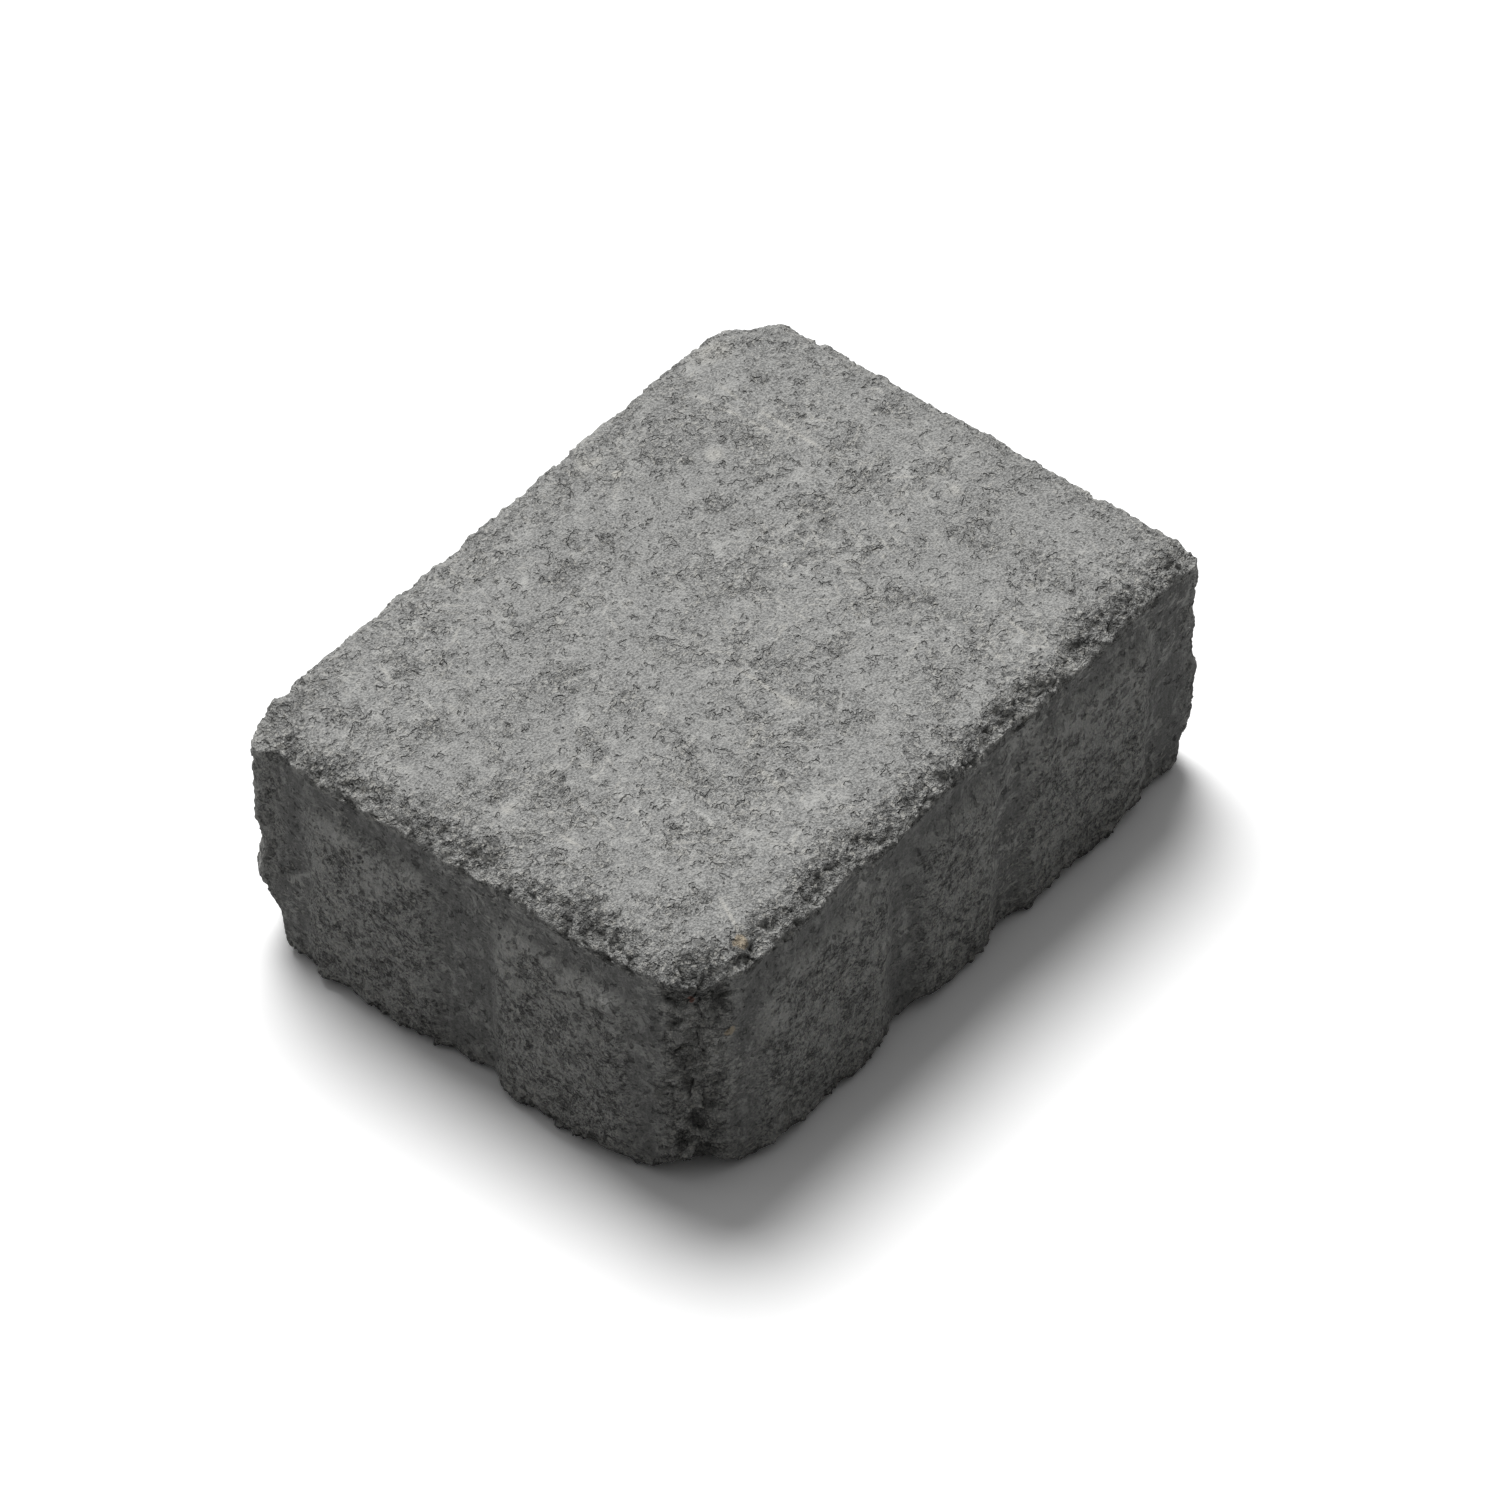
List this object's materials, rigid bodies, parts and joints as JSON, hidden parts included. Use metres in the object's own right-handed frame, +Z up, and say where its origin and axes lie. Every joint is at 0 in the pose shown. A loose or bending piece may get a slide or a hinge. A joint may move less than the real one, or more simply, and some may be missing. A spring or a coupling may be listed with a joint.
{
  "type": "concrete paving stone",
  "caption": "Tumbled rectangular concrete block paver with worn edges, rounded corners and raised spacer pads on its sides, laid on sand to make paths and drives.",
  "frame": {"origin": "middle of the bed face, at the bottom of the stone", "axes": "+X along the stone's length, +Y across its width, +Z up to the walking face"},
  "size_m": [0.16, 0.12, 0.059],
  "materials": {
    "concrete": "matt grey vibrated concrete, rough on the worn edges and smoother on the sides"
  },
  "bodies": {
    "root": {"paving_stone": "concrete"}
  },
  "joints": []
}
